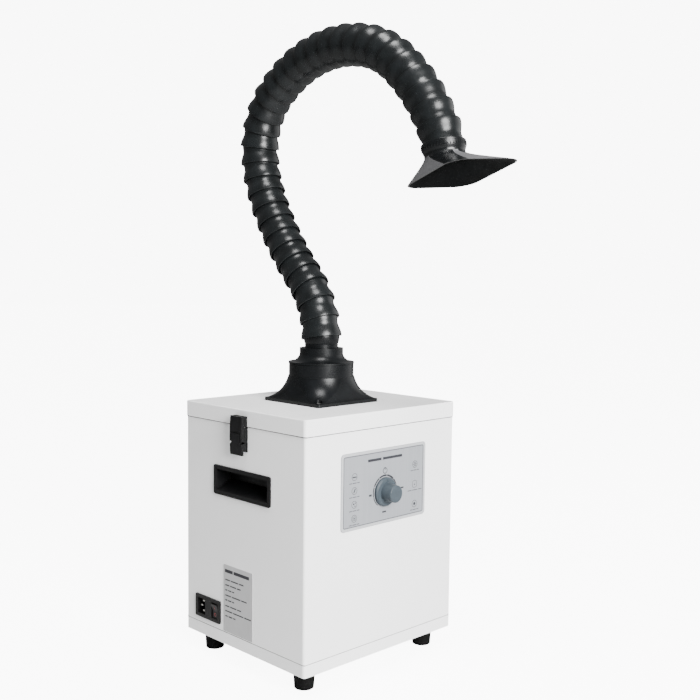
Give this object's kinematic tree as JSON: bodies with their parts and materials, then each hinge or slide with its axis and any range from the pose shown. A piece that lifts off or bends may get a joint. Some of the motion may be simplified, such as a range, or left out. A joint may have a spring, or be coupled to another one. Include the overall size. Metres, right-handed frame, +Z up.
{
  "type": "solder fume extractor",
  "caption": "Benchtop solder fume extractor: steel filter cabinet with lift-off lid, draw latches and a jointed self-supporting suction arm with a flared horn.",
  "frame": {"origin": "centre of the cabinet footprint, on the plane of the foot undersides", "axes": "+Z up, -Y out of the control panel, +X to the right seen from the front"},
  "size_m": [0.3, 0.4804, 0.863],
  "materials": {
    "white_steel": "semi-gloss powder coat",
    "arm_plastic": "polished moulding",
    "flange_plastic": "polished moulding",
    "hood_plastic": "satin moulding",
    "latch_plastic": "satin moulding",
    "inlet_plastic": "satin moulding",
    "rocker_plastic": "polished",
    "foot_rubber": "matt",
    "panel_film": "satin printed film",
    "knob_plastic": "satin moulding",
    "steel_bright": "zinc plated",
    "plate_foil": "satin foil",
    "gasket_foam": "open-cell foam",
    "prefilter_wool": "needled wool",
    "hepa_media": "pleated glass paper",
    "carbon_media": "granular carbon in a frame",
    "fan_plastic": "glass-filled moulding",
    "board_laminate": "solder-masked laminate",
    "cable_jacket": "smooth jacket",
    "contact_brass": "nickel plated"
  },
  "bodies": {
    "cabinet": {"cabinet_shell": "white_steel", "base_tray": "white_steel", "rubber_feet": "foot_rubber", "foot_screws": "steel_bright", "exhaust_grille": "inlet_plastic", "control_panel": "panel_film", "speed_potentiometer": "steel_bright", "control_board": "board_laminate", "power_inlet": "inlet_plastic", "inlet_pins": "contact_brass", "rating_plate": "plate_foil", "left_handle_cup": "latch_plastic", "right_handle_cup": "latch_plastic", "left_latch_base": "latch_plastic", "right_latch_base": "latch_plastic", "filter_shelf": "white_steel", "carbon_filter": "carbon_media", "hepa_filter": "hepa_media", "prefilter_pad": "prefilter_wool", "blower_housing": "fan_plastic", "blower_inlet_ring": "fan_plastic", "blower_motor": "steel_bright", "mains_lead": "cable_jacket", "motor_lead": "cable_jacket"},
    "lid": {"lid": "white_steel", "lid_gasket": "gasket_foam", "hose_flange": "flange_plastic", "flange_screws": "steel_bright", "left_latch_keeper": "latch_plastic", "right_latch_keeper": "latch_plastic"},
    "speed_knob": {"speed_knob": "knob_plastic", "potentiometer_shaft": "steel_bright"},
    "rocker": {"rocker_switch": "rocker_plastic"},
    "impeller": {"impeller": "fan_plastic", "blower_shaft": "steel_bright"},
    "left_lever": {"left_latch_lever": "latch_plastic"},
    "left_bail": {"left_latch_bail": "latch_plastic"},
    "right_lever": {"right_latch_lever": "latch_plastic"},
    "right_bail": {"right_latch_bail": "latch_plastic"},
    "cuff": {"swivel_cuff": "flange_plastic"},
    "arm_01": {"arm_link_01": "arm_plastic"},
    "arm_02": {"arm_link_02": "arm_plastic"},
    "arm_03": {"arm_link_03": "arm_plastic"},
    "arm_04": {"arm_link_04": "arm_plastic"},
    "arm_05": {"arm_link_05": "arm_plastic"},
    "arm_06": {"arm_link_06": "arm_plastic"},
    "arm_07": {"arm_link_07": "arm_plastic"},
    "arm_08": {"arm_link_08": "arm_plastic"},
    "arm_09": {"arm_link_09": "arm_plastic"},
    "arm_10": {"arm_link_10": "arm_plastic"},
    "arm_11": {"arm_link_11": "arm_plastic"},
    "arm_12": {"arm_link_12": "arm_plastic"},
    "arm_13": {"arm_link_13": "arm_plastic"},
    "arm_14": {"arm_link_14": "arm_plastic"},
    "arm_15": {"arm_link_15": "arm_plastic"},
    "arm_16": {"arm_link_16": "arm_plastic"},
    "arm_17": {"arm_link_17": "arm_plastic"},
    "hood": {"suction_hood": "hood_plastic"}
  },
  "joints": [
    {"name": "lid_lift", "type": "slide", "parent": "cabinet", "child": "lid", "axis": [0, 0, 1], "range_m": [0, 0.15]},
    {"name": "speed_knob_turn", "type": "hinge", "parent": "cabinet", "child": "speed_knob", "pos_m": [0, -0.125, 0.2435], "axis": [0, -1, 0], "range_deg": [-140, 140]},
    {"name": "rocker_tilt", "type": "hinge", "parent": "cabinet", "child": "rocker", "pos_m": [-0.137, 0.058, 0.0675], "axis": [0, 1, 0], "range_deg": [0, 16]},
    {"name": "impeller_spin", "type": "hinge", "parent": "cabinet", "child": "impeller", "pos_m": [0, 0, 0.082], "axis": [0, 0, 1], "continuous": true},
    {"name": "left_latch_open", "type": "hinge", "parent": "cabinet", "child": "left_lever", "pos_m": [-0.145, 0, 0.322], "axis": [0, 1, 0], "range_deg": [0, 100]},
    {"name": "left_bail_swing", "type": "hinge", "parent": "left_lever", "child": "left_bail", "pos_m": [-0.147, 0, 0.313], "axis": [0, 1, 0], "range_deg": [-100, 0]},
    {"name": "right_latch_open", "type": "hinge", "parent": "cabinet", "child": "right_lever", "pos_m": [0.145, 0, 0.322], "axis": [0, -1, 0], "range_deg": [0, 100]},
    {"name": "right_bail_swing", "type": "hinge", "parent": "right_lever", "child": "right_bail", "pos_m": [0.147, 0, 0.313], "axis": [0, -1, 0], "range_deg": [-100, 0]},
    {"name": "cuff_swivel", "type": "hinge", "parent": "lid", "child": "cuff", "pos_m": [0, 0, 0.402], "axis": [0, 0, 1], "range_deg": [-170, 170]},
    {"name": "arm_01_curl", "type": "hinge", "parent": "cuff", "child": "arm_01", "pos_m": [0, 0, 0.442], "axis": [1, 0, 0], "range_deg": [-7.5, 26.5]},
    {"name": "arm_02_sway", "type": "hinge", "parent": "arm_01", "child": "arm_02", "pos_m": [0, 0.01217, 0.48822], "axis": [0, 0.8616, -0.5075], "range_deg": [-13.4, 13.4]},
    {"name": "arm_03_curl", "type": "hinge", "parent": "arm_02", "child": "arm_03", "pos_m": [0, 0.0401, 0.52702], "axis": [-1, 0, 0], "range_deg": [-18.5, 15.5]},
    {"name": "arm_04_sway", "type": "hinge", "parent": "arm_03", "child": "arm_04", "pos_m": [0, 0.07158, 0.56323], "axis": [0, -0.8039, 0.5948], "range_deg": [-16.7, 16.7]},
    {"name": "arm_05_curl", "type": "hinge", "parent": "arm_04", "child": "arm_05", "pos_m": [0, 0.0991, 0.60254], "axis": [1, 0, 0], "range_deg": [-20, 14]},
    {"name": "arm_06_sway", "type": "hinge", "parent": "arm_05", "child": "arm_06", "pos_m": [0, 0.1218, 0.64479], "axis": [0, 0.9304, -0.3665], "range_deg": [-16.4, 16.4]},
    {"name": "arm_07_curl", "type": "hinge", "parent": "arm_06", "child": "arm_07", "pos_m": [0, 0.13599, 0.6905], "axis": [-1, 0, 0], "range_deg": [-8.5, 25.5]},
    {"name": "arm_08_sway", "type": "hinge", "parent": "arm_07", "child": "arm_08", "pos_m": [0, 0.13412, 0.73813], "axis": [0, -0.9239, -0.3827], "range_deg": [-10.4, 10.4]},
    {"name": "arm_09_curl", "type": "hinge", "parent": "arm_08", "child": "arm_09", "pos_m": [0, 0.11083, 0.77972], "axis": [1, 0, 0], "range_deg": [-30.5, 3.5]},
    {"name": "arm_10_sway", "type": "hinge", "parent": "arm_09", "child": "arm_10", "pos_m": [0, 0.07257, 0.80855], "axis": [0, 0.4462, 0.8949], "range_deg": [-15.5, 15.5]},
    {"name": "arm_11_curl", "type": "hinge", "parent": "arm_10", "child": "arm_11", "pos_m": [0, 0.02847, 0.82727], "axis": [-1, 0, 0], "range_deg": [-10, 24]},
    {"name": "arm_12_sway", "type": "hinge", "parent": "arm_11", "child": "arm_12", "pos_m": [0, -0.01883, 0.83498], "axis": [0, 0.0087, -1], "range_deg": [-15.7, 15.7]},
    {"name": "arm_13_curl", "type": "hinge", "parent": "arm_12", "child": "arm_13", "pos_m": [0, -0.06665, 0.83184], "axis": [1, 0, 0], "range_deg": [-23.5, 10.5]},
    {"name": "arm_14_sway", "type": "hinge", "parent": "arm_13", "child": "arm_14", "pos_m": [0, -0.11216, 0.81706], "axis": [0, -0.5225, 0.8526], "range_deg": [-14.5, 14.5]},
    {"name": "arm_15_curl", "type": "hinge", "parent": "arm_14", "child": "arm_15", "pos_m": [0, -0.15088, 0.78893], "axis": [-1, 0, 0], "range_deg": [-12, 22]},
    {"name": "arm_16_sway", "type": "hinge", "parent": "arm_15", "child": "arm_16", "pos_m": [0, -0.18296, 0.75329], "axis": [0, 0.8241, -0.5664], "range_deg": [-16.3, 16.3]},
    {"name": "arm_17_curl", "type": "hinge", "parent": "arm_16", "child": "arm_17", "pos_m": [0, -0.20838, 0.71262], "axis": [1, 0, 0], "range_deg": [-26, 8]},
    {"name": "hood_tilt", "type": "hinge", "parent": "arm_17", "child": "hood", "pos_m": [0, -0.21678, 0.69014], "axis": [1, 0, 0], "range_deg": [-26, 8]}
  ],
  "couplings": [
    {"joint": "left_bail_swing", "follows": "left_latch_open", "ratio": -1},
    {"joint": "right_bail_swing", "follows": "right_latch_open", "ratio": -1}
  ]
}
